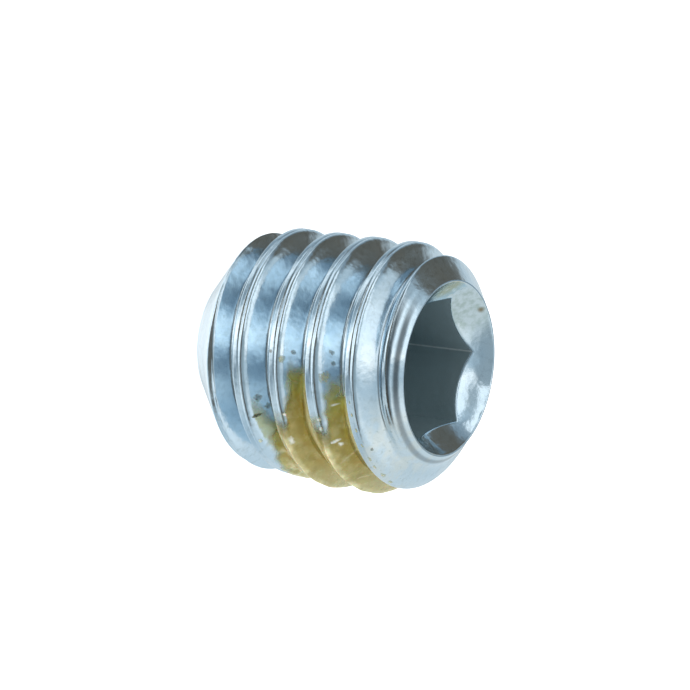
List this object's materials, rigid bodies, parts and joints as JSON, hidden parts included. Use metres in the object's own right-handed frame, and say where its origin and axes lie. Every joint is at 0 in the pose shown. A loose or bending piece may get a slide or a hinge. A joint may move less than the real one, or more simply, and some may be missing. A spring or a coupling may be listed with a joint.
{
  "type": "hexagon socket set screw",
  "caption": "Short headless set screw, threaded over its whole length, with a hexagon socket, a chamfered cup point and a thread-locking patch on one side.",
  "frame": {"origin": "on the screw's axis, in the plane of the point's rim, which it stands on", "axes": "+Z along the screw's axis from the point towards the socket; the locking patch is on the +X side"},
  "size_m": [0.0095, 0.0095, 0.0095],
  "materials": {
    "zinc_plated_steel": "bright bluish zinc plate over rolled and turned steel",
    "patch_polymer": "glossy fused polymer, olive yellow, translucent where it is thin"
  },
  "bodies": {
    "root": {"screw_body": "zinc_plated_steel", "locking_patch": "patch_polymer"}
  },
  "joints": []
}
